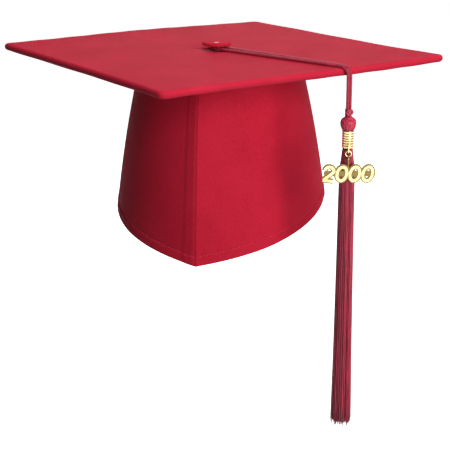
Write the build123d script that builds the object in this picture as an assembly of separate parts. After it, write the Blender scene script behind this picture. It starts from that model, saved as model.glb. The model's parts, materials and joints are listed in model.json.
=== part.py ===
from build123d import *
import os
from math import atan2, cos, degrees, pi, radians, sin, sqrt

os.makedirs("parts", exist_ok=True)

# Graduation cap, millimetres. +Z is up and -Y is the front of the cap, so +X is the wearer's left.
# The origin is the middle of the head opening, level with the hem at the wearer's temples.

# Board
BOARD_SIDE = 241.3
CORE_THICK = 3.2
COVER_THICK = 1.0
BOARD_CORNER = 5.0
BOARD_SETBACK = 21.2          # the board's middle lies this far ahead of the opening's middle
CROWN_SIDE_DEPTH = 111.0      # board underside to hem at the temples

# Crown: a tapering oval, wider at the head opening than at the board
TOP_HALF_WIDTH = 59.7
TOP_HALF_LENGTH = 72.4
TOP_SHIFT = -5.0
HEM_HALF_WIDTH = 84.1
HEM_HALF_LENGTH = 91.9
CROWN_BULGE = 2.8
FRONT_POINT_DROP = 31.0       # the front point hangs this far below the temples
BACK_HEM_RISE = 19.0

# Crown layers, from the outside in
PANEL_THICK = 0.9
LINING_THICK = 0.7
BAND_THICK = 0.9
CASING_THICK = 0.6
LAYER_GAP = 0.1
SEAM_TAPE_WIDTH = 9.0
HEADBAND_HEIGHT = 26.0
ELASTIC_WIDTH = 18.0
CASING_HEIGHT = 24.0
ELASTIC_HALF_SPAN = 52.0
CROWN_TOP_THICK = 0.9

# Hem stitching
STITCH_LENGTH = 3.0
STITCH_COUNT = 84
STITCH_THICK = 0.35
STITCH_ABOVE_HEM = 7.0

# Button
BUTTON_RADIUS = 11.0
BUTTON_HEAD = 3.0
BUTTON_FABRIC = 0.6
BUTTON_METAL = 0.5
SHANK_RADIUS = 2.5
SHANK_CLEARANCE = 0.05
WASHER_RADIUS = 7.0
WASHER_THICK = 1.0
RIVET_RADIUS = 4.0
RIVET_THICK = 0.8

# Cord and tassel
CORD_DIAMETER = 2.5
CORD_CLEARANCE = 0.3
CORD_HEADING = -32.0          # the cord's run from the button, in degrees from +X
CORD_SPACING = 2.8            # between the middles of the two strands
PIVOT_DROP = 5.0              # board middle to the pivot where the strands start to hang
KNOT_DROP = 27.5
KNOT_RADIUS = 3.3
HEAD_TOP_DROP = 31.2
HEAD_RADIUS = 5.6
FERRULE_DROP = 40.2
FERRULE_LENGTH = 12.3
FERRULE_RADIUS = 4.0
FERRULE_WALL = 0.4
FERRULE_RIBS = 7
SKEIN_NECK_RADIUS = 4.3
SKEIN_NECK_LENGTH = 7.5       # slim stretch behind the ring
SKEIN_TOP_RADIUS = 5.6
SKEIN_BOTTOM_RADIUS = 7.7
SKEIN_LENGTH = 209.0          # below the ferrule

# Jump ring and year charm
TAB_THICK = 0.8
TAB_REACH = 6.4               # tassel axis to the ring's pivot
RING_RADIUS = 2.0
RING_WIRE = 0.4
RING_HOLE = 0.6
CHARM_WIDTH = 40.0
CHARM_HEIGHT = 15.0
CHARM_BACK = 6.9              # tassel axis to the charm's back
CHARM_THICK = 1.0
CHARM_RELIEF = 0.7
CHARM_HEADING = -78.0         # the way the charm faces, in degrees from +X
DIGIT_STROKE = 2.0
OUTLINE_WIDTH = 0.9
RIM_WIDTH = 0.6

# Heights and places that follow
under_z = CROWN_SIDE_DEPTH
core_low = under_z + COVER_THICK
core_high = core_low + CORE_THICK
board_top = core_high + COVER_THICK
board_middle = (under_z + board_top) / 2
board_edge = BOARD_SIDE / 2
board_y = -BOARD_SETBACK
front_depth = CROWN_SIDE_DEPTH + FRONT_POINT_DROP
LINING_OUT = PANEL_THICK + LAYER_GAP
BAND_OUT = LINING_OUT + LINING_THICK + LAYER_GAP
CASING_OUT = BAND_OUT + BAND_THICK + LAYER_GAP


def write(name, shape):
    """Export one node."""
    export_step(shape, f"parts/{name}.step")


def square_plate(side, low, high, corner):
    """A flat square with its corners to the front, back and sides."""
    outline = RectangleRounded(side, side, corner)
    plate = extrude(outline, high - low)
    return Pos(0, board_y, low) * Rot(0, 0, 45) * plate


def disc(radius, low, high):
    """An upright cylinder on the button's axis."""
    return Pos(0, board_y, (low + high) / 2) * Cylinder(radius, high - low)


def oval(z, inset):
    """Half width, half length and middle y of the crown at height z, inset from its outside."""
    down = (under_z - z) / front_depth
    swell = CROWN_BULGE * 4 * down * (1 - down) - inset
    half_width = TOP_HALF_WIDTH + (HEM_HALF_WIDTH - TOP_HALF_WIDTH) * down + swell
    half_length = TOP_HALF_LENGTH + (HEM_HALF_LENGTH - TOP_HALF_LENGTH) * down + swell
    return half_width, half_length, TOP_SHIFT * (1 - down)


def crown_solid(inset):
    """The crown filled solid, from the board to just below the front point."""
    sections = []
    levels = 5
    lowest = -FRONT_POINT_DROP
    for level in range(levels):
        z = under_z + (lowest - under_z) * level / (levels - 1)
        half_width, half_length, middle = oval(z, inset)
        sections.append(Pos(0, middle, z) * Ellipse(half_width, half_length))
    return loft(sections)


def hem_height(turn):
    """Height of the hem at an angle round the crown, 0 at the front."""
    along = cos(turn)
    if along > 0:
        return -FRONT_POINT_DROP * sqrt(1 - abs(sin(turn)))
    return BACK_HEM_RISE * (-along) ** 1.5


def below_hem(lift):
    """Everything lower than the hem line raised by lift: it comes to a point at the front."""
    reach = 2 * HEM_HALF_LENGTH
    turns = [radians(90 - 7.5 * k) for k in range(13)]
    points = [(-HEM_HALF_LENGTH * cos(turn), lift + hem_height(turn)) for turn in turns]
    back = [(share * HEM_HALF_LENGTH, lift + share ** 1.5 * BACK_HEM_RISE) for share in (0.25, 0.5, 0.75, 1.0)]
    outline = (
        [(-reach, lift - FRONT_POINT_DROP - 40), (-reach, points[-1][1])]
        + points[::-1]
        + back
        + [(reach, lift + BACK_HEM_RISE), (reach, lift - FRONT_POINT_DROP - 40)]
    )
    face = Plane.YZ * make_face(Polyline(*outline, close=True))
    return extrude(face, 3 * HEM_HALF_WIDTH, both=True)


def shell(outside, thick):
    """One layer of the crown, cut to the hem."""
    return crown_solid(outside) - crown_solid(outside + thick) - below_hem(0)


def half(shape, side):
    """The part of a shape on one side of the centre seam."""
    block = Pos(side * HEM_HALF_WIDTH, 0, 0) * Box(2 * HEM_HALF_WIDTH, 6 * HEM_HALF_LENGTH, 4 * front_depth)
    return shape & block


# Board and its covers
shank_hole = disc(SHANK_RADIUS + SHANK_CLEARANCE, under_z - 20, board_top + 20)
core_side = BOARD_SIDE - 2 * COVER_THICK
board_core = square_plate(core_side, core_low, core_high, BOARD_CORNER - COVER_THICK)
top_cover = square_plate(BOARD_SIDE, under_z, board_top, BOARD_CORNER)
top_cover = fillet(top_cover.edges().group_by(Axis.Z)[-1], 0.9 * COVER_THICK)
top_cover = top_cover - square_plate(core_side, under_z - 1, core_high, BOARD_CORNER - COVER_THICK)
under_cover = square_plate(core_side, under_z, core_low, BOARD_CORNER - COVER_THICK)
write("board_core", board_core - shank_hole)
write("top_cover", top_cover - shank_hole)
write("under_cover", under_cover - shank_hole)

# Crown
outer_shell = shell(0, PANEL_THICK)
lining_shell = shell(LINING_OUT, LINING_THICK)
for name, side in (("left", 1), ("right", -1)):
    write(f"crown_panel_{name}", half(outer_shell, side))
    write(f"interlining_{name}", half(lining_shell, side))
top_low = under_z - CROWN_TOP_THICK
top_band = Pos(0, 0, under_z - CROWN_TOP_THICK / 2) * Box(500, 500, CROWN_TOP_THICK)
crown_top = (crown_solid(BAND_OUT) & top_band) - shank_hole
write("crown_top", crown_top)

band_shell = shell(BAND_OUT, BAND_THICK)
elastic_box = Pos(0, 2 * HEM_HALF_LENGTH, 0) * Box(2 * ELASTIC_HALF_SPAN, 4 * HEM_HALF_LENGTH, 600)
seam_box = Pos(0, -2 * HEM_HALF_LENGTH, 0) * Box(SEAM_TAPE_WIDTH, 4 * HEM_HALF_LENGTH, 600)
headband_box = Pos(0, 2 * HEM_HALF_LENGTH, 0) * Box(2 * ELASTIC_HALF_SPAN + 1, 4 * HEM_HALF_LENGTH, 600)
headband = (band_shell & below_hem(HEADBAND_HEIGHT)) - headband_box
elastic_band = band_shell & below_hem(ELASTIC_WIDTH) & elastic_box
tape_low = below_hem(HEADBAND_HEIGHT + 0.3)
tape_top = Pos(0, 0, top_low - 0.3 - 300) * Box(600, 600, 600)
front_seam_tape = ((band_shell & seam_box) - tape_low) & tape_top
back_casing = shell(CASING_OUT, CASING_THICK) & below_hem(CASING_HEIGHT) & elastic_box
write("headband", headband)
write("elastic_band", elastic_band)
write("front_seam_tape", front_seam_tape)
write("back_casing", back_casing)


def stitch(turn):
    """One stitch lying on the crown, along the hem."""
    z = hem_height(turn) + STITCH_ABOVE_HEM
    half_width, half_length, middle = oval(z, -0.1 - STITCH_THICK / 2)
    x = half_width * sin(turn)
    y = middle - half_length * cos(turn)
    heading = degrees(atan2(half_length * sin(turn), half_width * cos(turn)))
    return Pos(x, y, z) * Rot(0, 0, heading) * Box(STITCH_LENGTH, STITCH_THICK, STITCH_THICK)


stitches = [stitch(2 * pi * (k + 0.5) / STITCH_COUNT) for k in range(STITCH_COUNT)]
write("hem_stitching", Compound(children=stitches))

# Button: head, shank through the board and washer below
neck_height = CORD_DIAMETER + 2 * CORD_CLEARANCE
head_low = board_top + neck_height
head_high = head_low + BUTTON_HEAD


def turned(points):
    """A solid turned about the button's axis from radius and height points."""
    face = Plane.XZ * make_face(Polyline(*points, close=True))
    return Pos(0, board_y, 0) * revolve(face, Axis.Z)


cover_inner = BUTTON_RADIUS - BUTTON_FABRIC
shell_inner = cover_inner - BUTTON_METAL
back_thick = 0.8
button_cover = disc(BUTTON_RADIUS, head_low, head_high)
button_cover = fillet(button_cover.edges().group_by(Axis.Z)[-1], 1.2)
button_cover = fillet(button_cover.edges().group_by(Axis.Z)[0], 0.9)
button_cover = button_cover - disc(cover_inner, head_low + BUTTON_FABRIC, head_high - BUTTON_FABRIC)
button_cover = button_cover - disc(cover_inner - 2, head_low - 1, head_low + BUTTON_FABRIC)
write("button_cover", button_cover)
button_shell = disc(cover_inner, head_low + BUTTON_FABRIC, head_high - BUTTON_FABRIC)
button_shell = button_shell - disc(shell_inner, head_low, head_high - BUTTON_FABRIC - BUTTON_METAL)
write("button_shell", button_shell)
button_back = disc(shell_inner, head_low + BUTTON_FABRIC, head_low + BUTTON_FABRIC + back_thick)
write("button_back", button_back - disc(SHANK_RADIUS, head_low - 1, head_high))
washer_high = top_low
washer_low = washer_high - WASHER_THICK
write("shank_washer", disc(WASHER_RADIUS, washer_low, washer_high) - shank_hole)
shank_top = head_low + BUTTON_FABRIC + back_thick
shank = disc(SHANK_RADIUS, washer_low - RIVET_THICK, shank_top)
shank = shank + disc(RIVET_RADIUS, washer_low - RIVET_THICK, washer_low)
write("button_shank", shank)

# Cord: one strand out from the knot, round the button's neck and back
cord_radius = CORD_DIAMETER / 2
run_z = board_top + CORD_CLEARANCE + cord_radius
edge_turn = radians(-45 - CORD_HEADING)
edge_arc = CORD_CLEARANCE + cord_radius + COVER_THICK
edge_reach = board_edge / cos(edge_turn) + CORD_CLEARANCE + cord_radius + 1.2
neck_arc = SHANK_RADIUS + CORD_CLEARANCE + cord_radius
pivot_z = board_middle - PIVOT_DROP
end_z = pivot_z + cord_radius + CORD_CLEARANCE
cord_place = Pos(0, board_y, 0) * Rot(0, 0, CORD_HEADING)
half_space = CORD_SPACING / 2
cord_route = [
    (edge_reach, -half_space, end_z),
    (edge_reach, -half_space, run_z),
    (-neck_arc, -neck_arc, run_z),
    (-neck_arc, neck_arc, run_z),
    (edge_reach, half_space, run_z),
    (edge_reach, half_space, end_z),
]
cord_radii = [edge_arc, 0.95 * neck_arc, 0.95 * neck_arc, edge_arc]
cord_path = FilletPolyline(*cord_route, radius=cord_radii)
print("cord radii", [round(r, 2) for r in cord_radii], "length", round(cord_path.length, 1))


def tube(path, radius):
    """A round tube along a path."""
    return sweep(Plane(origin=path @ 0, z_dir=path % 0) * Circle(radius), path)


cord_loop = tube(cord_path, cord_radius)
cord_section = pi * cord_radius ** 2
print("cord volume", round(cord_loop.volume, 1), "of", round(cord_section * cord_path.length, 1))
write("cord_loop", cord_place * cord_loop)

knot_z = board_middle - KNOT_DROP
strand_low = knot_z + KNOT_RADIUS + CORD_CLEARANCE
for name, side in (("front", -1), ("back", 1)):
    length = pivot_z - strand_low
    strand = Pos(0, 0, strand_low + length / 2) * Cylinder(cord_radius, length)
    strand = strand + Pos(0, 0, pivot_z) * Sphere(cord_radius)
    write(f"cord_drop_{name}", cord_place * Pos(edge_reach, side * half_space, 0) * strand)

# Tassel, turned about its own axis
tassel_place = cord_place * Pos(edge_reach, 0, 0)
charm_place = tassel_place * Rot(0, 0, CHARM_HEADING - CORD_HEADING)
write("tassel_knot", tassel_place * Pos(0, 0, knot_z) * Sphere(KNOT_RADIUS))


def lathe(points):
    """A solid turned about the tassel's axis from radius and height points."""
    face = Plane.XZ * make_face(Polyline(*points, close=True))
    return tassel_place * revolve(face, Axis.Z)


head_top = board_middle - HEAD_TOP_DROP
ferrule_top = board_middle - FERRULE_DROP
ferrule_low = ferrule_top - FERRULE_LENGTH
skein_low = ferrule_low - SKEIN_LENGTH
core_radius = FERRULE_RADIUS - FERRULE_WALL
bind_high = ferrule_top + 1.6
bind_radius = FERRULE_RADIUS + 0.3
head_points = [
    (0, head_top),
    (2.4, head_top),
    (4.4, head_top - 1.2),
    (HEAD_RADIUS, head_top - 3.4),
    (HEAD_RADIUS - 0.4, bind_high + 1.4),
    (FERRULE_RADIUS - 0.5, bind_high),
    (FERRULE_RADIUS - 0.5, ferrule_top),
    (0, ferrule_top),
]
write("tassel_head", lathe(head_points))
neck_thread = lathe([
    (FERRULE_RADIUS - 0.5, ferrule_top),
    (bind_radius, ferrule_top),
    (bind_radius, bind_high - 0.2),
    (FERRULE_RADIUS - 0.5, bind_high - 0.2),
])
write("neck_thread", neck_thread)
skein_points = [
    (0, ferrule_top),
    (core_radius, ferrule_top),
    (core_radius, ferrule_low - 0.2),
    (SKEIN_NECK_RADIUS, ferrule_low - 1.5),
    (SKEIN_NECK_RADIUS, ferrule_low - SKEIN_NECK_LENGTH),
    (SKEIN_TOP_RADIUS, ferrule_low - 2 * SKEIN_NECK_LENGTH),
    (SKEIN_BOTTOM_RADIUS, skein_low),
    (0, skein_low),
]
write("skein", lathe(skein_points))

rib_pitch = FERRULE_LENGTH / FERRULE_RIBS
ferrule_points = [(core_radius, ferrule_top)]
for rib in range(FERRULE_RIBS):
    rib_top = ferrule_top - rib * rib_pitch
    ferrule_points.append((FERRULE_RADIUS - 0.15, rib_top))
    ferrule_points.append((FERRULE_RADIUS + 0.1, rib_top - 0.3 * rib_pitch))
    ferrule_points.append((FERRULE_RADIUS + 0.1, rib_top - 0.7 * rib_pitch))
ferrule_points.append((FERRULE_RADIUS - 0.15, ferrule_low))
ferrule_points.append((core_radius, ferrule_low))
ring_pivot_z = ferrule_low - 1.0
tab_low = ring_pivot_z - 1.2
tab_high = ferrule_low + 2.5
tab_in = core_radius + 0.2
tab = Pos((tab_in + TAB_REACH + 1.2) / 2, 0, (tab_low + tab_high) / 2) * Box(
    TAB_REACH + 1.2 - tab_in, TAB_THICK, tab_high - tab_low
)
tab = tab - Pos(TAB_REACH, 0, ring_pivot_z) * Rot(90, 0, 0) * Cylinder(RING_HOLE, 4)
tab = tab - Pos(0, 0, ferrule_low - 10) * Cylinder(TAB_REACH - 1.1, 20)
ferrule = lathe(ferrule_points) + charm_place * tab
write("ferrule", ferrule)

# Jump ring, facing the same way as the charm
ring_z = ring_pivot_z - RING_RADIUS
ring = Pos(TAB_REACH, 0, ring_z) * Rot(0, 90, 0) * Torus(RING_RADIUS, RING_WIRE)
write("jump_ring", charm_place * ring)


def charm_frame(depth):
    """A plane across the charm: x to its right, y up, facing the viewer."""
    middle = Vector(CHARM_BACK + depth, 0, charm_middle_z)
    return Plane(origin=middle, x_dir=(0, 1, 0), z_dir=(1, 0, 0))


bail_z = ring_z - RING_RADIUS
charm_middle_z = bail_z - 4.4 - CHARM_HEIGHT / 2
digit_height = CHARM_HEIGHT - 2 * (OUTLINE_WIDTH + RIM_WIDTH)
digit_pitch = (CHARM_WIDTH - 2 * (OUTLINE_WIDTH + RIM_WIDTH)) / 4.12
digit_half = 0.5 * digit_height
lean = 14.0


def zero(grow):
    """A leaning nought, its stroke grown on both sides."""
    half_width = 0.48 * digit_pitch
    face = Ellipse(half_width + grow, digit_half + grow)
    eye_width = half_width - DIGIT_STROKE - grow
    if eye_width > 0:
        face = face - Ellipse(eye_width, digit_half - DIGIT_STROKE - grow)
    return Rot(0, 0, -lean) * face


def two(grow):
    """A leaning two: a hook over a slanting leg and a flat foot."""
    wide = 0.36 * digit_pitch
    inner = digit_half - DIGIT_STROKE / 2
    hook = ThreePointArc((-wide, inner - wide), (0, inner), (wide, inner - wide))
    leg = Line((wide, inner - wide), (-wide, -inner))
    foot = Line((-1.1 * wide, -inner), (1.2 * wide, -inner))
    width = DIGIT_STROKE + 2 * grow
    stroke = trace(hook, width) + trace(leg, width) + trace(foot, width)
    joint = Pos(wide, inner - wide) * Circle(width / 2)
    return Rot(0, 0, -0.6 * lean) * (stroke + joint)


def numerals(grow):
    """The four figures of the year in a row, 2000."""
    figures = [two, zero, zero, zero]
    row = None
    for place, figure in enumerate(figures):
        shape = Pos((place - 1.5) * digit_pitch, 0) * figure(grow)
        row = shape if row is None else row + shape
    return row


def slab(face, depth, thick):
    """A flat layer of the charm."""
    return extrude(charm_frame(depth) * face, thick)


plate = RectangleRounded(CHARM_WIDTH - 6, 4.0, 1.9)
charm = slab(numerals(OUTLINE_WIDTH), 0, CHARM_THICK) + slab(plate, 0, CHARM_THICK)
charm = charm + slab(numerals(0), CHARM_THICK, CHARM_RELIEF)
bail = Pos(TAB_REACH, 0, bail_z) * Rot(90, 0, 0) * (Cylinder(1.5, TAB_THICK) - Cylinder(RING_HOLE, 2))
stem_low = charm_middle_z + 0.4 * digit_height - 1.0
stem = Pos(CHARM_BACK + 0.5, 0, (bail_z - 1.0 + stem_low) / 2) * Box(1.0, TAB_THICK, bail_z - 1.0 - stem_low)
stem = stem - Pos(TAB_REACH, 0, bail_z) * Rot(90, 0, 0) * Cylinder(1.2, 4)
link = Pos(TAB_REACH + 0.5, 0, bail_z - 1.4) * Box(2.6, TAB_THICK, 0.8)
charm = charm + bail + stem + link
write("year_charm", charm_place * charm)

print("board middle", round(board_middle, 2), "pivot", round(pivot_z, 2), "knot", round(knot_z, 2))
print("edge reach", round(edge_reach, 2), "ring pivot", round(ring_pivot_z, 2), "bail", round(bail_z, 2))
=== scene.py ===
import json
import math
import random

import bpy
from mathutils import Matrix, Vector


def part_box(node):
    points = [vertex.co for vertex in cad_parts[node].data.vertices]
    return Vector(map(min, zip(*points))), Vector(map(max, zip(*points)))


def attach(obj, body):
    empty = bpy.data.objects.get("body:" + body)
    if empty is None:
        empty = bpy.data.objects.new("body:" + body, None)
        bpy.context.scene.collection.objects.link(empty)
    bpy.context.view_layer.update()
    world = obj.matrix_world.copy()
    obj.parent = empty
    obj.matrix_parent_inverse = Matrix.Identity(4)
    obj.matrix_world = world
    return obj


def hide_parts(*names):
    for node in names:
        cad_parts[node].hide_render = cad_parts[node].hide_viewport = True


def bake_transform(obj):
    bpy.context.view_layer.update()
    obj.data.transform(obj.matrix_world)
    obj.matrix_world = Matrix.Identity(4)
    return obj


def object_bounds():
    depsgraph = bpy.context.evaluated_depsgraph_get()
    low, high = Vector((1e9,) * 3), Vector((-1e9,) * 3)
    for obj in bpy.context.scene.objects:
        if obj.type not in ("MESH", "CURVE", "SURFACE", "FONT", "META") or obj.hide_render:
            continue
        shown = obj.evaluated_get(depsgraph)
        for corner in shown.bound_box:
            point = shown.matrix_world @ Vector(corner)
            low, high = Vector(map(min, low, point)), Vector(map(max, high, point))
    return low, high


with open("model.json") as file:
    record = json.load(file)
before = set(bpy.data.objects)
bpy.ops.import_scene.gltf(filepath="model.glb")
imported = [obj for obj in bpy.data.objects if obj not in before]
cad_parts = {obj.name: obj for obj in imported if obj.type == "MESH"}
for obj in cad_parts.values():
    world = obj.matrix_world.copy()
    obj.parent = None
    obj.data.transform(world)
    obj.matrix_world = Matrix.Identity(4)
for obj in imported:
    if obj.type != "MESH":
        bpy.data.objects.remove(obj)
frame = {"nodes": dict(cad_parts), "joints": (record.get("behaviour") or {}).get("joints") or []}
cad_low, cad_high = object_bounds()

MM = 0.001
TURN = 2 * math.pi

# Places that come from the frame, in metres
board_low, board_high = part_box("board_core")
board_middle = (board_low + board_high) / 2
cover_low, cover_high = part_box("top_cover")
board_top = cover_high.z
board_under = cover_low.z
half_thick = (board_top - board_under) / 2
knot_low, knot_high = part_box("tassel_knot")
knot_middle = (knot_low + knot_high) / 2
ferrule_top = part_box("neck_thread")[0].z
head_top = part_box("tassel_head")[1].z
skein_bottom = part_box("skein")[0].z
joints = {joint["name"]: joint for joint in frame["joints"]}
ring_pivot = Vector(joints["ring_swing"]["pos_m"])
axis = Vector((knot_middle.x, knot_middle.y, 0))


def smooth(low, high, value):
    """0 below low, 1 above high, and a soft step between."""
    share = min(max((value - low) / (high - low), 0.0), 1.0)
    return share * share * (3 - 2 * share)


def new_mesh(name, points, faces, body, material, nodes=(), shaded=True):
    """A mesh piece that rides on a body and stands for some CAD nodes."""
    data = bpy.data.meshes.new(name)
    data.from_pydata([tuple(p) for p in points], [], faces)
    data.validate()
    data.update()
    piece = bpy.data.objects.new(name, data)
    bpy.context.scene.collection.objects.link(piece)
    if shaded:
        data.polygons.foreach_set("use_smooth", [True] * len(data.polygons))
    data.materials.append(material)
    if body:
        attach(piece, body)
    if nodes:
        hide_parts(*nodes)
    return piece


def grid_faces(rows, columns, closed=True, flip=False, first=0):
    """Quads between rows of points; a closed row joins its last point to its first."""
    faces = []
    for row in range(rows - 1):
        for column in range(columns if closed else columns - 1):
            beside = (column + 1) % columns
            a, b = first + row * columns + column, first + row * columns + beside
            c, d = b + columns, a + columns
            faces.append((d, c, b, a) if flip else (a, b, c, d))
    return faces


def thicken(piece, thickness):
    """Gives a sheet its thickness inward, as a real mesh."""
    solid = piece.modifiers.new("thickness", "SOLIDIFY")
    solid.thickness = thickness
    solid.offset = -1.0
    bpy.context.view_layer.update()
    graph = bpy.context.evaluated_depsgraph_get()
    made = bpy.data.meshes.new_from_object(piece.evaluated_get(graph))
    piece.modifiers.clear()
    piece.data = made


# ---------------------------------------------------------------- materials

SHEEN_TINT = (1.0, 0.2, 0.25, 1)


def material_start(name):
    """A new node material with its shader, object coordinates and helpers."""
    material = bpy.data.materials.new(name)
    material.use_nodes = True
    nodes = material.node_tree.nodes
    links = material.node_tree.links
    shader = nodes["Principled BSDF"]
    place = nodes.new("ShaderNodeTexCoord").outputs["Object"]
    return material, nodes, links, shader, place


def noise(nodes, links, place, scale, detail=4.0, stretch=None):
    """Noise over the object's own coordinates, stretched if asked."""
    texture = nodes.new("ShaderNodeTexNoise")
    texture.inputs["Scale"].default_value = scale
    texture.inputs["Detail"].default_value = detail
    if stretch:
        mapping = nodes.new("ShaderNodeMapping")
        mapping.inputs["Scale"].default_value = stretch
        links.new(place, mapping.inputs["Vector"])
        place = mapping.outputs["Vector"]
    links.new(place, texture.inputs["Vector"])
    return texture.outputs["Fac"]


def ramp(nodes, links, value, low, high, start=0.3, end=0.7):
    """A colour that goes from low to high as a value goes from start to end."""
    colours = nodes.new("ShaderNodeValToRGB")
    colours.color_ramp.elements[0].position = start
    colours.color_ramp.elements[1].position = end
    colours.color_ramp.elements[0].color = (*low, 1)
    colours.color_ramp.elements[1].color = (*high, 1)
    links.new(value, colours.inputs["Fac"])
    return colours.outputs["Color"]


def wave(nodes, links, place, scale, direction, distort=0.0):
    """Fine parallel threads along one axis."""
    texture = nodes.new("ShaderNodeTexWave")
    texture.bands_direction = direction
    texture.inputs["Scale"].default_value = scale
    texture.inputs["Distortion"].default_value = distort
    links.new(place, texture.inputs["Vector"])
    return texture.outputs["Fac"]


def added(nodes, links, first, second):
    """The sum of two values."""
    node = nodes.new("ShaderNodeMath")
    node.operation = "ADD"
    links.new(first, node.inputs[0])
    links.new(second, node.inputs[1])
    return node.outputs[0]


def bump(nodes, links, shader, height, strength, distance):
    """Surface relief from a height."""
    node = nodes.new("ShaderNodeBump")
    node.inputs["Strength"].default_value = strength
    node.inputs["Distance"].default_value = distance
    links.new(height, node.inputs["Height"])
    links.new(node.outputs["Normal"], shader.inputs["Normal"])


def woven(name, dark, light, roughness=0.62, sheen=0.08, thread=520.0, turned=0.0):
    """A woven cloth: crossed threads, slubs and slow changes of shade."""
    material, nodes, links, shader, place = material_start(name)
    if turned:
        mapping = nodes.new("ShaderNodeMapping")
        mapping.inputs["Rotation"].default_value = (0, 0, turned)
        links.new(place, mapping.inputs["Vector"])
        place = mapping.outputs["Vector"]
    slub = noise(nodes, links, place, 900, 3.0)
    shade = noise(nodes, links, place, 26, 3.0)
    mixed = added(nodes, links, slub, shade)
    half = nodes.new("ShaderNodeMath")
    half.operation = "MULTIPLY"
    half.inputs[1].default_value = 0.5
    links.new(mixed, half.inputs[0])
    shades = ramp(nodes, links, half.outputs[0], dark, light, 0.32, 0.68)
    links.new(shades, shader.inputs["Base Color"])
    warp = wave(nodes, links, place, thread, "X", 0.4)
    weft = wave(nodes, links, place, thread, "Y", 0.4)
    fill = wave(nodes, links, place, thread, "Z", 0.4)
    weave = added(nodes, links, added(nodes, links, warp, weft), fill)
    height = added(nodes, links, weave, noise(nodes, links, place, 1400, 2.0))
    bump(nodes, links, shader, height, 0.16, 0.0004)
    shader.inputs["Roughness"].default_value = roughness
    shader.inputs["Specular IOR Level"].default_value = 0.02
    shader.inputs["Sheen Weight"].default_value = sheen
    shader.inputs["Sheen Roughness"].default_value = 0.45
    shader.inputs["Sheen Tint"].default_value = SHEEN_TINT
    return material


def silky(name, dark, light, roughness=0.36, along=(1, 1, 0.04), scale=1500.0):
    """Shiny thread: fine streaks that run along it."""
    material, nodes, links, shader, place = material_start(name)
    streak = noise(nodes, links, place, scale, 3.0, along)
    links.new(ramp(nodes, links, streak, dark, light, 0.36, 0.62), shader.inputs["Base Color"])
    bump(nodes, links, shader, streak, 0.3, 0.0003)
    shader.inputs["Roughness"].default_value = roughness
    shader.inputs["Specular IOR Level"].default_value = 0.35
    shader.inputs["Sheen Weight"].default_value = 0.06
    shader.inputs["Sheen Roughness"].default_value = 0.3
    shader.inputs["Sheen Tint"].default_value = SHEEN_TINT
    return material


def metal(name, dark, light, roughness, scale=260.0):
    """Plated metal with slight clouding and fine wear marks."""
    material, nodes, links, shader, place = material_start(name)
    cloud = noise(nodes, links, place, scale, 5.0)
    links.new(ramp(nodes, links, cloud, dark, light, 0.35, 0.6), shader.inputs["Base Color"])
    rough = nodes.new("ShaderNodeMapRange")
    rough.inputs["To Min"].default_value = roughness * 0.7
    rough.inputs["To Max"].default_value = roughness * 1.4
    links.new(cloud, rough.inputs["Value"])
    links.new(rough.outputs["Result"], shader.inputs["Roughness"])
    bump(nodes, links, shader, noise(nodes, links, place, 2600, 2.0), 0.05, 0.0002)
    shader.inputs["Metallic"].default_value = 1.0
    return material


def charm_metal():
    """Gold figures over a darker recessed outline, told apart by their depth on the charm."""
    material = metal("charm_gold", (0.72, 0.55, 0.24), (0.86, 0.72, 0.4), 0.24)
    nodes, links = material.node_tree.nodes, material.node_tree.links
    shader = nodes["Principled BSDF"]
    place = nodes.new("ShaderNodeTexCoord").outputs["Object"]
    facing = (ring_pivot - Vector((axis.x, axis.y, ring_pivot.z))).normalized()
    dot = nodes.new("ShaderNodeVectorMath")
    dot.operation = "DOT_PRODUCT"
    dot.inputs[1].default_value = facing
    links.new(place, dot.inputs[0])
    charm_face = max(Vector(v.co).dot(facing) for v in frame["nodes"]["year_charm"].data.vertices)
    step = nodes.new("ShaderNodeMapRange")
    step.inputs["From Min"].default_value = charm_face - 0.55 * MM
    step.inputs["From Max"].default_value = charm_face - 0.25 * MM
    links.new(dot.outputs["Value"], step.inputs["Value"])
    mix = nodes.new("ShaderNodeMix")
    mix.data_type = "RGBA"
    gold = shader.inputs["Base Color"].links[0].from_socket
    links.new(step.outputs["Result"], mix.inputs["Factor"])
    mix.inputs["A"].default_value = (0.2, 0.14, 0.05, 1)
    links.new(gold, mix.inputs["B"])
    links.new(mix.outputs["Result"], shader.inputs["Base Color"])
    return material


RED_DARK = (0.44, 0.01, 0.028)
RED_LIGHT = (0.58, 0.018, 0.045)
cap_cloth = woven("cap_cloth", RED_DARK, RED_LIGHT)
board_cloth = woven("board_cloth", (0.42, 0.012, 0.03), (0.56, 0.02, 0.048), turned=math.pi / 4)
lining_cloth = woven("lining_cloth", (0.3, 0.01, 0.025), (0.4, 0.02, 0.04), 0.8, 0.1, 380.0)
elastic_cloth = woven("elastic_cloth", (0.33, 0.01, 0.03), (0.45, 0.02, 0.05), 0.7, 0.2, 700.0)
stiffener = woven("stiffener", (0.55, 0.5, 0.47), (0.72, 0.68, 0.64), 0.9, 0.0, 300.0)
sewing_thread = silky("sewing_thread", (0.3, 0.008, 0.02), (0.62, 0.06, 0.1), 0.5)
skein_silk = silky("skein_silk", (0.2, 0.004, 0.018), (0.5, 0.025, 0.07), 0.34)
# The head's silk is the skein's thread painted lighter, a painted highlight standing in for the
# light on the bulb
head_silk_painted_highlight = silky("head_silk_painted_highlight", (0.42, 0.008, 0.045), (0.72, 0.05, 0.11), 0.28, scale=2200.0)
cord_silk = silky("cord_silk", (0.22, 0.004, 0.018), (0.56, 0.03, 0.075), 0.3, (1, 1, 1), 900.0)
gold = metal("gold", (0.7, 0.52, 0.22), (0.85, 0.7, 0.38), 0.2)
steel = metal("steel", (0.4, 0.4, 0.41), (0.6, 0.6, 0.61), 0.35)
pressed_board = woven("pressed_board", (0.36, 0.3, 0.23), (0.46, 0.39, 0.3), 0.9, 0.0, 120.0)

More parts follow.
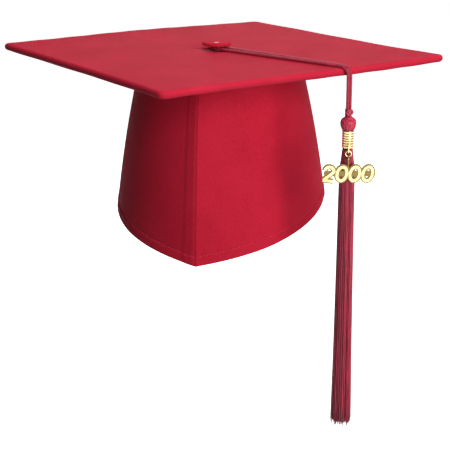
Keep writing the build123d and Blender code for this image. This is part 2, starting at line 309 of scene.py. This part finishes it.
for node, material in {
    "interlining_left": stiffener,
    "interlining_right": stiffener,
    "crown_top": lining_cloth,
    "headband": lining_cloth,
    "front_seam_tape": lining_cloth,
    "elastic_band": elastic_cloth,
    "back_casing": cap_cloth,
    "button_shell": steel,
    "button_back": steel,
    "button_shank": steel,
    "shank_washer": steel,
    "ferrule": gold,
    "jump_ring": gold,
    "year_charm": charm_metal(),
}.items():
    data = frame["nodes"][node].data
    data.materials.clear()
    data.materials.append(material)


# ---------------------------------------------------------------- camera and light

# Angles in degrees, distance in metres, lens and sensor in millimetres
CAMERA_TURN = 11.82
CAMERA_RISE = 8.96
CAMERA_AWAY = 0.95
CAMERA_TILT = 15.15
CAMERA_PAN = -0.39
CAMERA_LENS = 100.3
CAMERA_SENSOR = 36
CAMERA_SHIFT = -0.08
WORLD_LIGHT = 0.09            # the world's strength for all but camera rays
FLOOR_HALF = 6.0
FLOOR_DROP = 0.12             # below the tips of the tassel


def make_camera():
    """The camera a little above the board and to the tassel's side."""
    turn, rise = math.radians(CAMERA_TURN), math.radians(CAMERA_RISE)
    level = math.cos(rise)
    out = Vector((math.sin(turn) * level, -math.cos(turn) * level, math.sin(rise)))
    data = bpy.data.cameras.new("camera")
    data.lens = CAMERA_LENS
    data.sensor_width = CAMERA_SENSOR
    data.shift_y = CAMERA_SHIFT
    data.clip_end = 50
    camera = bpy.data.objects.new("camera", data)
    bpy.context.scene.collection.objects.link(camera)
    camera.location = board_middle + CAMERA_AWAY * out
    heading = math.radians(CAMERA_TURN + CAMERA_PAN)
    camera.rotation_euler = (math.radians(90 - CAMERA_TILT), 0, heading)
    bpy.context.scene.camera = camera


def make_light(name, place, aim, width, height, power):
    """A soft area light aimed at a point."""
    data = bpy.data.lights.new(name, "AREA")
    data.shape = "RECTANGLE"
    data.size = width
    data.size_y = height
    data.energy = power
    light = bpy.data.objects.new(name, data)
    bpy.context.scene.collection.objects.link(light)
    light.location = place
    light.rotation_euler = (Vector(aim) - Vector(place)).to_track_quat("-Z", "Y").to_euler()


def make_world():
    """White to the camera, dimmer as a light."""
    world = bpy.data.worlds.new("studio")
    bpy.context.scene.world = world
    world.use_nodes = True
    nodes, links = world.node_tree.nodes, world.node_tree.links
    background = nodes["Background"]
    path = nodes.new("ShaderNodeLightPath")
    strength = nodes.new("ShaderNodeMapRange")
    strength.inputs["To Min"].default_value = WORLD_LIGHT
    strength.inputs["To Max"].default_value = 1.0
    links.new(path.outputs["Is Camera Ray"], strength.inputs["Value"])
    links.new(strength.outputs["Result"], background.inputs["Strength"])
    background.inputs["Color"].default_value = (1, 1, 1, 1)


def make_floor():
    """A plain pale floor well below the hanging tassel."""
    size = FLOOR_HALF
    z = cad_low.z - FLOOR_DROP
    points = [(-size, -size, z), (size, -size, z), (size, size, z), (-size, size, z)]
    material, nodes, links, shader, place = material_start("floor")
    links.new(
        ramp(nodes, links, noise(nodes, links, place, 3), (0.93, 0.93, 0.93), (0.96, 0.96, 0.96)),
        shader.inputs["Base Color"],
    )
    shader.inputs["Roughness"].default_value = 0.9
    shader.inputs["Specular IOR Level"].default_value = 0.0
    shader.inputs["Emission Color"].default_value = (1, 1, 1, 1)
    shader.inputs["Emission Strength"].default_value = 0.9
    floor = new_mesh("floor", points, [(0, 1, 2, 3)], None, material)
    floor.visible_diffuse = False


bpy.context.scene.view_settings.view_transform = "Standard"
make_camera()
make_world()
make_floor()
crown_aim = (0, 0, 0.04)
make_light("key", (0.86, -0.9, 0.28), crown_aim, 0.8, 0.8, 16)
make_light("top", (0.1, 0.1, 1.3), (0, 0, board_top), 1.2, 1.2, 14)
make_light("fill", (-0.5, -1.4, 0.3), crown_aim, 0.6, 0.6, 0.7)
make_light("back", (-0.2, 1.3, 0.3), (0, 0, 0.05), 0.8, 0.8, 3)


# ---------------------------------------------------------------- cord

CORD_RISE = 1.55 * MM         # the cord's middle above the board
KNOT_REACH = 1.0 * MM         # where the strands end, above the knot's middle
HANG_HALF_GAP = 1.4 * MM      # half the distance between the hanging strands
RUN_HALF_GAP = 1.7 * MM       # the same on the board, near the edge
EDGE_RUN = 15 * MM            # from the bend at the edge to the next point of the route
NECK_REACH = 4.05 * MM        # the loop round the button's neck
NECK_NEAR = 3.95 * MM
PLIES = 3
PLY_PITCH = 4.7 * MM
PLY_RADIUS = 0.56 * MM
PLY_OFFSET = 0.68 * MM
CORD_HEADING = math.atan2(axis.y - board_middle.y, axis.x)
edge_reach = math.hypot(axis.x, axis.y - board_middle.y)
run_z = board_top + CORD_RISE
strand_low = knot_middle.z + KNOT_REACH
near_edge_z = run_z - EDGE_RUN
cord_route = [
    (edge_reach, -HANG_HALF_GAP, strand_low),
    (edge_reach, -HANG_HALF_GAP, near_edge_z),
    (edge_reach, -HANG_HALF_GAP, run_z),
    (edge_reach - EDGE_RUN, -RUN_HALF_GAP, run_z),
    (NECK_REACH, -NECK_NEAR, run_z),
    (-NECK_REACH, -NECK_REACH, run_z),
    (-NECK_REACH, NECK_REACH, run_z),
    (NECK_REACH, NECK_NEAR, run_z),
    (edge_reach - EDGE_RUN, RUN_HALF_GAP, run_z),
    (edge_reach, HANG_HALF_GAP, run_z),
    (edge_reach, HANG_HALF_GAP, near_edge_z),
    (edge_reach, HANG_HALF_GAP, strand_low),
]
cord_place = Matrix.Translation((0, board_middle.y, 0)) @ Matrix.Rotation(CORD_HEADING, 4, "Z")


def spline_points(name, route, place):
    """Points along the smooth curve that a route's points control."""
    data = bpy.data.curves.new(name, "CURVE")
    data.dimensions = "3D"
    data.resolution_u = 24
    spline = data.splines.new("NURBS")
    spline.points.add(len(route) - 1)
    for point, spot in zip(spline.points, route):
        point.co = (*(place @ Vector(spot)), 1)
    spline.order_u = 3
    spline.use_endpoint_u = True
    curve = bpy.data.objects.new(name, data)
    bpy.context.scene.collection.objects.link(curve)
    bpy.context.view_layer.update()
    mesh = bpy.data.meshes.new_from_object(curve)
    points = [v.co.copy() for v in mesh.vertices]
    bpy.data.objects.remove(curve)
    return points


def evenly(points, step):
    """The same line with points a step apart."""
    lengths = [0.0]
    for a, b in zip(points, points[1:]):
        lengths.append(lengths[-1] + (b - a).length)
    count = max(int(lengths[-1] / step), 2)
    made, index = [], 0
    for k in range(count + 1):
        target = lengths[-1] * k / count
        while index < len(lengths) - 2 and lengths[index + 1] < target:
            index += 1
        span = lengths[index + 1] - lengths[index]
        share = (target - lengths[index]) / span if span > 0 else 0
        made.append(points[index].lerp(points[index + 1], share))
    return made, lengths[-1]


def frames(points):
    """A side and an up direction at each point, turning as little as possible."""
    ways = []
    for k in range(len(points)):
        way = points[min(k + 1, len(points) - 1)] - points[max(k - 1, 0)]
        ways.append(way.normalized())
    side = ways[0].orthogonal().normalized()
    made = []
    for way in ways:
        side = (side - way * side.dot(way)).normalized()
        made.append((side, way.cross(side)))
    return made


def strand_mesh(points, radius, sides, twist=0.0, offset=0.0, start=0.0, first=0):
    """A tube along a line, or one ply twisted round it at an offset."""
    directions = frames(points)
    line, travelled = [], 0.0
    for k, (spot, (side, up)) in enumerate(zip(points, directions)):
        if k:
            travelled += (spot - points[k - 1]).length
        angle = start + travelled * twist
        line.append(spot + offset * (side * math.cos(angle) + up * math.sin(angle)))
    tube = []
    for spot, (side, up) in zip(line, frames(line)):
        for s in range(sides):
            angle = TURN * s / sides
            tube.append(spot + radius * (side * math.cos(angle) + up * math.sin(angle)))
    faces = grid_faces(len(line), sides, first=first)
    faces.append(tuple(first + s for s in reversed(range(sides))))
    faces.append(tuple(first + (len(line) - 1) * sides + s for s in range(sides)))
    return tube, faces


def make_cord():
    """The looped cord: three twisted plies, from the knot round the button and back."""
    line, length = evenly(spline_points("cord_line", cord_route, cord_place), 0.45 * MM)
    points, faces = [], []
    for ply in range(PLIES):
        start = TURN * ply / PLIES
        tube, sides = strand_mesh(
            line, PLY_RADIUS, 8, TURN / PLY_PITCH, PLY_OFFSET, start, len(points)
        )
        points += tube
        faces += sides
    nodes = ("cord_loop", "cord_drop_front", "cord_drop_back")
    cord = new_mesh("tassel_cord_rope", points, faces, None, cord_silk, nodes)
    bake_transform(cord)


make_cord()


# ---------------------------------------------------------------- board

BOARD_HALF = 120.65 * MM
CORNER = 6 * MM
AROUND = 480                  # points in each ring of the board
CORNER_SHARE = 0.14           # share of a side's points that go round its corner
SMALLEST_CORNER = 0.15 * MM
CORE_HALF = 1.6 * MM
# How far the board has bent, in millimetres
FRONT_DIP = 1.1
RIGHT_RISE = 1.7
BACK_DIP = 0.5
BACK_LEFT_RISE = 1.2


def board_lift(x, y):
    """How far the soft board has bent up or down at a place, from its middle."""
    reach = 170 * MM
    front = max(-y / reach, 0) ** 5
    right = max(x / reach, 0) ** 5
    back = max(y / reach, 0) ** 5
    back_left = max((y - x) / (reach * 1.42), 0) ** 4 * 4
    side_by_side = math.exp(-((x + y) / (90 * MM)) ** 2)
    back_left_lift = BACK_LEFT_RISE * back_left * side_by_side
    return MM * (-FRONT_DIP * front + RIGHT_RISE * right - BACK_DIP * back + back_left_lift)


def board_ring(inset, z):
    """Points round the board at an inset from its edge, its corners facing front and back."""
    half = BOARD_HALF - inset
    corner = max(CORNER - inset, SMALLEST_CORNER)
    straight = half - corner
    points = []
    per_side = AROUND // 4
    for quarter in range(4):
        for k in range(per_side):
            share = k / per_side
            if share < CORNER_SHARE:
                angle = math.radians(90) * share / CORNER_SHARE
                spot = Vector((corner * math.cos(angle), corner * math.sin(angle), 0))
                spot += Vector((straight, straight, 0))
            else:
                along = (share - CORNER_SHARE) / (1 - CORNER_SHARE)
                spot = Vector((straight * (1 - 2 * along), half, 0))
            spot = Matrix.Rotation(math.radians(90) * quarter + math.radians(45), 3, "Z") @ spot
            lift = board_lift(spot.x, spot.y)
            ripple = 0.12 * MM * math.sin(spot.x * 210 + spot.y * 90)
            ripple *= math.exp(-inset / (7 * MM))
            points.append(Vector((spot.x, spot.y + board_middle.y, z + lift + ripple)))
    return points


def board_rings(edge_half, insets_top, insets_under, middle_z):
    """Rings over the top, round the rolled edge and under the board."""
    rings = [board_ring(inset, middle_z + edge_half) for inset in insets_top]
    steps = 10
    for step in range(1, steps):
        angle = math.pi * step / steps
        inset = edge_half * (1 - math.sin(angle))
        rings.append(board_ring(inset, middle_z + edge_half * math.cos(angle)))
    rings += [board_ring(inset, middle_z - edge_half) for inset in insets_under]
    return rings


def make_board():
    """The board's top fabric with its rolled edge, the fabric below it and the core between."""
    wide = [inset * MM for inset in (104, 88, 72, 58, 45, 34, 24, 16, 10, 6, 4, 3)]
    middle_z = (board_top + board_under) / 2
    rings = [board_ring(115.5 * MM, board_top)] + board_rings(
        half_thick, wide + [half_thick], [half_thick, 4 * MM, 8 * MM, 9 * MM], middle_z
    )
    points = [p for ring in rings for p in ring]
    faces = grid_faces(len(rings), AROUND, flip=True)
    top = new_mesh(
        "board_top_fabric", points, faces, "cap", board_cloth, ["top_cover"]
    )
    thicken(top, 0.6 * MM)

    under = [board_ring(inset * MM, board_under + 0.05 * MM) for inset in (8.6, 10, 16, 24, 40, 60)]
    points = [p for ring in under for p in ring]
    under_piece = new_mesh(
        "board_under_fabric", points, grid_faces(len(under), AROUND, flip=True),
        "cap", board_cloth, ["under_cover"],
    )
    thicken(under_piece, 0.5 * MM)

    insets = [2 * MM, 8 * MM, 20 * MM, 45 * MM, 80 * MM, 112 * MM]
    core = [board_ring(inset, middle_z + CORE_HALF) for inset in reversed(insets)]
    core += [board_ring(inset, middle_z - CORE_HALF) for inset in insets]
    points = [p for ring in core for p in ring]
    new_mesh(
        "board_core_sheet", points, grid_faces(len(core), AROUND, flip=True) + [
            (column, (column + 1) % AROUND,
             (len(core) - 1) * AROUND + (column + 1) % AROUND, (len(core) - 1) * AROUND + column)
            for column in range(AROUND)
        ],
        "cap", pressed_board, ["board_core"], shaded=False,
    )


make_board()


# ---------------------------------------------------------------- crown

panel_low, panel_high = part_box("crown_panel_left")
crown_top_z = panel_high.z
front_drop = -panel_low.z
crown_depth = crown_top_z + front_drop
TOP_HALF_WIDTH = 59.7 * MM
TOP_HALF_LENGTH = 72.4 * MM
TOP_SHIFT = -5 * MM
WIDER_AT_HEM = 24.4 * MM
LONGER_AT_HEM = 19.5 * MM
CROWN_BULGE = 2.8 * MM
BACK_RISE = 19 * MM
STITCH_UP = 7 * MM
ROWS_ABOVE_HEM = 40
LAST_TURN = 179.9             # degrees; the two panels stop just short of each other


def crown_oval(z):
    """Half width, half length and middle y of the crown's outside at a height."""
    down = (crown_top_z - z) / crown_depth
    swell = CROWN_BULGE * 4 * down * (1 - down)
    width = TOP_HALF_WIDTH + WIDER_AT_HEM * down + swell
    length = TOP_HALF_LENGTH + LONGER_AT_HEM * down + swell
    return width, length, TOP_SHIFT * (1 - down)


def hem_z(turn):
    """Height of the hem round the crown, 0 at the front."""
    along = math.cos(turn)
    if along > 0:
        return -front_drop * math.sqrt(max(1 - abs(math.sin(turn)), 0))
    return BACK_RISE * (-along) ** 1.5


def crown_puff(turn, z, above_hem):
    """How far the cloth stands out: the keel at the seam, its pressed allowance, folds and hem."""
    degrees_round = math.degrees(turn)
    loose = smooth(0, 45 * MM, above_hem) * smooth(0, 30 * MM, crown_top_z - z)
    keel = 4.6 * MM * math.exp(-abs(degrees_round) / 11) * smooth(0, 26 * MM, crown_top_z - z)
    fold_right = 1.6 * MM * math.exp(-((degrees_round - 36 + 60 * z) / 9) ** 2)
    fold_left = 0.8 * MM * math.exp(-((degrees_round + 44 - 50 * z) / 16) ** 2)
    fold_side = 0.3 * MM * math.exp(-((degrees_round - 74 - 40 * z) / 9) ** 2)
    fold_back = 0.9 * MM * (1 + math.sin(math.radians(5 * degrees_round) + 20 * z)) * (
        smooth(95, 130, abs(degrees_round))
    )
    allowance = 0.35 * MM * smooth(-7.5, -5.0, degrees_round)
    allowance *= 1 - smooth(-1.6, -0.3, degrees_round)
    hem_fold = 0.35 * MM * (1 - smooth(STITCH_UP - 1.2 * MM, STITCH_UP + 0.6 * MM, above_hem))
    groove = -0.3 * MM * math.exp(-((above_hem - STITCH_UP) / (0.8 * MM)) ** 2)
    pucker = 0.1 * MM * math.sin(turn * 95) * math.exp(-((above_hem - STITCH_UP) / (3 * MM)) ** 2)
    folds = (fold_right + fold_left + fold_side + fold_back) * (0.25 + 0.75 * loose)
    return keel + folds + allowance + hem_fold + groove + pucker + 0.15 * MM


def crown_point(turn, above_hem, extra=0.0):
    """A point of the crown's cloth."""
    z = hem_z(turn) + above_hem
    width, length, middle = crown_oval(z)
    out = crown_puff(turn, z, above_hem) + extra
    return Vector(((width + out) * math.sin(turn), middle - (length + out) * math.cos(turn), z))


def crown_turns(side):
    """Angles from the front seam to the back seam, closer together at the front."""
    near = [0.3 * k for k in range(0, 30)]
    far = [9 + 1.5 * k for k in range(0, 115)]
    turns = [math.radians(side * max(t, 0.12)) for t in near + far]
    turns = [t for t in turns if abs(t) < math.radians(LAST_TURN)]
    return turns + [math.radians(side * LAST_TURN)]


def make_panel(name, side):
    """One half of the crown, from the front seam to the back seam."""
    turns = crown_turns(side)
    # Heights above the hem in millimetres, closest together at the stitches
    hem_steps = [0, 0.3, 0.8, 1.6, 3, 4.5, 5.6, 6.2, 6.6, 7, 7.4, 7.9, 8.6, 9.6, 11, 13]
    band = hem_steps[-1] * MM
    points = []
    rows = len(hem_steps) + ROWS_ABOVE_HEM
    for row in range(rows):
        for turn in turns:
            if row < len(hem_steps):
                above = hem_steps[row] * MM
            else:
                share = (row - len(hem_steps) + 1) / ROWS_ABOVE_HEM
                above = band + (crown_top_z - 0.1 * MM - hem_z(turn) - band) * share
            points.append(crown_point(turn, above))
    faces = grid_faces(rows, len(turns), closed=False, flip=side < 0)
    piece = new_mesh(
        "crown_cloth_" + name, points, faces, "cap", cap_cloth,
        ["crown_panel_" + name],
    )
    thicken(piece, 0.8 * MM)


def make_stitches():
    """The hem's row of stitches, each a short rounded thread."""
    count, half_length, radius = 230, 0.95 * MM, 0.2 * MM
    points, faces = [], []
    for k in range(count):
        turn = TURN * (k + 0.5) / count - math.pi
        here = crown_point(turn, STITCH_UP, 0.08 * MM)
        way = crown_point(turn + 0.004, STITCH_UP) - crown_point(turn - 0.004, STITCH_UP)
        way.normalize()
        out = Vector((here.x, here.y, 0)).normalized()
        up = way.cross(out).normalized()
        first, rings, sides = len(points), 5, 6
        for ring in range(rings):
            along = -1 + 2 * ring / (rings - 1)
            thin = radius * math.sqrt(max(1 - along * along, 0.06))
            for s in range(sides):
                angle = TURN * s / sides
                points.append(
                    here + way * half_length * along
                    + thin * (out * math.cos(angle) + up * math.sin(angle))
                )
        faces += grid_faces(rings, sides, first=first)
        faces.append(tuple(first + s for s in reversed(range(sides))))
        faces.append(tuple(first + (rings - 1) * sides + s for s in range(sides)))
    new_mesh("hem_stitches", points, faces, "cap", sewing_thread, ["hem_stitching"])


make_panel("left", 1)
make_panel("right", -1)
make_stitches()


# ---------------------------------------------------------------- button

def make_button():
    """The button's fabric: a shallow dished top, a soft rim and gathers on its side."""
    low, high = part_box("button_cover")
    radius = (high.x - low.x) / 2
    middle = (low + high) / 2
    outline = [
        (0.02, 0.78), (0.3, 0.82), (0.6, 0.92), (0.8, 1.0), (0.93, 0.93),
        (1.0, 0.66), (1.0, 0.42), (0.95, 0.16), (0.86, 0.03), (0.78, 0.0),
    ]
    sides = 96
    points = []
    for share, rise in outline:
        for s in range(sides):
            angle = TURN * s / sides
            gather = 0.012 * math.sin(angle * 22) * smooth(0.8, 1.0, share)
            reach = radius * (share + gather - 0.012 * smooth(0.8, 1.0, share))
            z = low.z + (high.z - low.z) * rise
            x = middle.x + reach * math.cos(angle)
            y = middle.y + reach * math.sin(angle)
            points.append((x, y, z))
    faces = grid_faces(len(outline), sides, flip=True)
    faces.append(tuple(range(sides)))
    piece = new_mesh(
        "button_fabric", points, faces, "cap", cap_cloth, ["button_cover"]
    )
    thicken(piece, 0.4 * MM)


make_button()


# ---------------------------------------------------------------- tassel

def make_knot():
    """A cord knot: one strand woven round a small core."""
    middle, size = knot_middle, (knot_high.z - knot_low.z) / 2
    line = []
    for k in range(181):
        t = TURN * 2 * k / 180
        rise = 0.85 * math.sin(1.5 * t)
        reach = (size - 0.85 * MM) * (1 + 0.06 * math.cos(4 * t))
        line.append(middle + reach * Vector((
            math.cos(t) * math.cos(rise), math.sin(t) * math.cos(rise), math.sin(rise),
        )))
    points, faces = strand_mesh(line, 0.8 * MM, 10)
    bands, sides = 16, 24
    first = len(points)
    for ring in range(bands + 1):
        tilt = math.pi * (ring / bands - 0.5) * 0.995
        for s in range(sides):
            angle = TURN * s / sides
            points.append(middle + (size - 0.9 * MM) * Vector((
                math.cos(angle) * math.cos(tilt), math.sin(angle) * math.cos(tilt), math.sin(tilt),
            )))
    faces += grid_faces(bands + 1, sides, first=first)
    new_mesh("knot_cord", points, faces, "knot", cord_silk, ["tassel_knot"])


def threads(count, profile, seed, radius, ragged, wander):
    """Many fine threads hanging round an axis, following a profile of (z, radius)."""
    rolls = random.Random(seed)
    points, faces = [], []
    sides = 4
    for k in range(count):
        angle = TURN * (k + rolls.uniform(-0.4, 0.4)) / count
        depth = rolls.uniform(0.82, 1.0)
        sway = rolls.uniform(-wander, wander)
        short = rolls.uniform(0, ragged)
        line = []
        low_z = profile[-1][0]
        for index, (z, reach) in enumerate(profile):
            share = index / (len(profile) - 1)
            turn = angle + sway * share + 0.05 * wander * math.sin(7 * share + k)
            spot_z = z + short * smooth(0.75, 1.0, share)
            line.append(axis + Vector((
                reach * depth * math.cos(turn), reach * depth * math.sin(turn), max(spot_z, low_z),
            )))
        tube, sides_made = strand_mesh(line, radius, sides, first=len(points))
        points += tube
        faces += sides_made
    return points, faces


def lathe(profile, sides):
    """A closed surface turned round the tassel's axis."""
    points = []
    for z, reach in profile:
        for s in range(sides):
            angle = TURN * s / sides
            points.append(axis + Vector((reach * math.cos(angle), reach * math.sin(angle), z)))
    faces = grid_faces(len(profile), sides, flip=True)
    faces.append(tuple(range(sides)))
    faces.append(tuple((len(profile) - 1) * sides + s for s in reversed(range(sides))))
    return points, faces


def make_skein():
    """The hanging threads, with uneven ends, over a darker core."""
    sleeve_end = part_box("ferrule")[0].z + 2.2 * MM
    profile = [(sleeve_end + 1 * MM, 3.1 * MM), (sleeve_end - 2 * MM, 3.7 * MM)]
    profile += [(sleeve_end - 8 * MM, 4.35 * MM), (sleeve_end - 15 * MM, 5.4 * MM)]
    steps = 11
    for step in range(1, steps + 1):
        share = step / steps
        z = sleeve_end - 15 * MM + (skein_bottom - sleeve_end + 15 * MM) * share
        profile.append((z, (5.5 + 2.0 * share - 0.25 * math.sin(math.pi * share)) * MM))
    core = [(sleeve_end + 1 * MM, 2.6 * MM)] + [
        (z + 3 * MM * (index > len(profile) - 3), reach * 0.8)
        for index, (z, reach) in enumerate(profile)
    ]
    points, faces = lathe(core, 32)
    # Each layer's thread count, share of the radius, seed and raggedness in millimetres
    layers = ((92, 1.0, 3, 5), (76, 0.9, 5, 8), (40, 0.7, 7, 4), (26, 0.4, 9, 3))
    for count, shrink, seed, ragged in layers:
        layer = [(z, reach * shrink) for z, reach in profile]
        made, sides = threads(count, layer, seed, 0.3 * MM, ragged * MM, 0.12)
        faces += [tuple(v + len(points) for v in face) for face in sides]
        points += made
    new_mesh("skein_threads", points, faces, "tassel", skein_silk, ["skein"])


def make_head():
    """The tassel's head: threads folded over its core, and the wrapped neck inside its foot."""
    neck_top = ferrule_top + 0.2 * MM
    tall = head_top - neck_top
    shape = [
        (-0.1, 0.4), (0.0, 0.5), (0.07, 0.68), (0.16, 0.85), (0.28, 0.96), (0.42, 1.0),
        (0.58, 0.98), (0.74, 0.92), (0.88, 0.83), (1.0, 0.72),
    ]
    profile = [(head_top - tall * down, 5.6 * MM * wide) for down, wide in shape]
    core = [(z, reach * 0.93) for z, reach in profile]
    points, faces = lathe(core, 40)
    made, sides = threads(84, profile, 11, 0.28 * MM, 0.0, 0.06)
    faces += [tuple(v + len(points) for v in face) for face in sides]
    points += made
    # The head's threads take the lighter silk, whose colour holds a painted highlight
    new_mesh("head_threads", points, faces, "tassel", head_silk_painted_highlight, ["tassel_head"])

    line = []
    wraps, steps, wrap_reach = 3, 120, 3.6 * MM
    for k in range(steps + 1):
        angle = TURN * wraps * k / steps
        z = ferrule_top + 0.3 * MM + 1.0 * MM * k / steps
        line.append(axis + Vector((wrap_reach * math.cos(angle), wrap_reach * math.sin(angle), z)))
    points, faces = strand_mesh(line, 0.32 * MM, 8)
    new_mesh("neck_wrap", points, faces, "tassel", head_silk_painted_highlight, ["neck_thread"])


make_knot()
make_skein()
make_head()
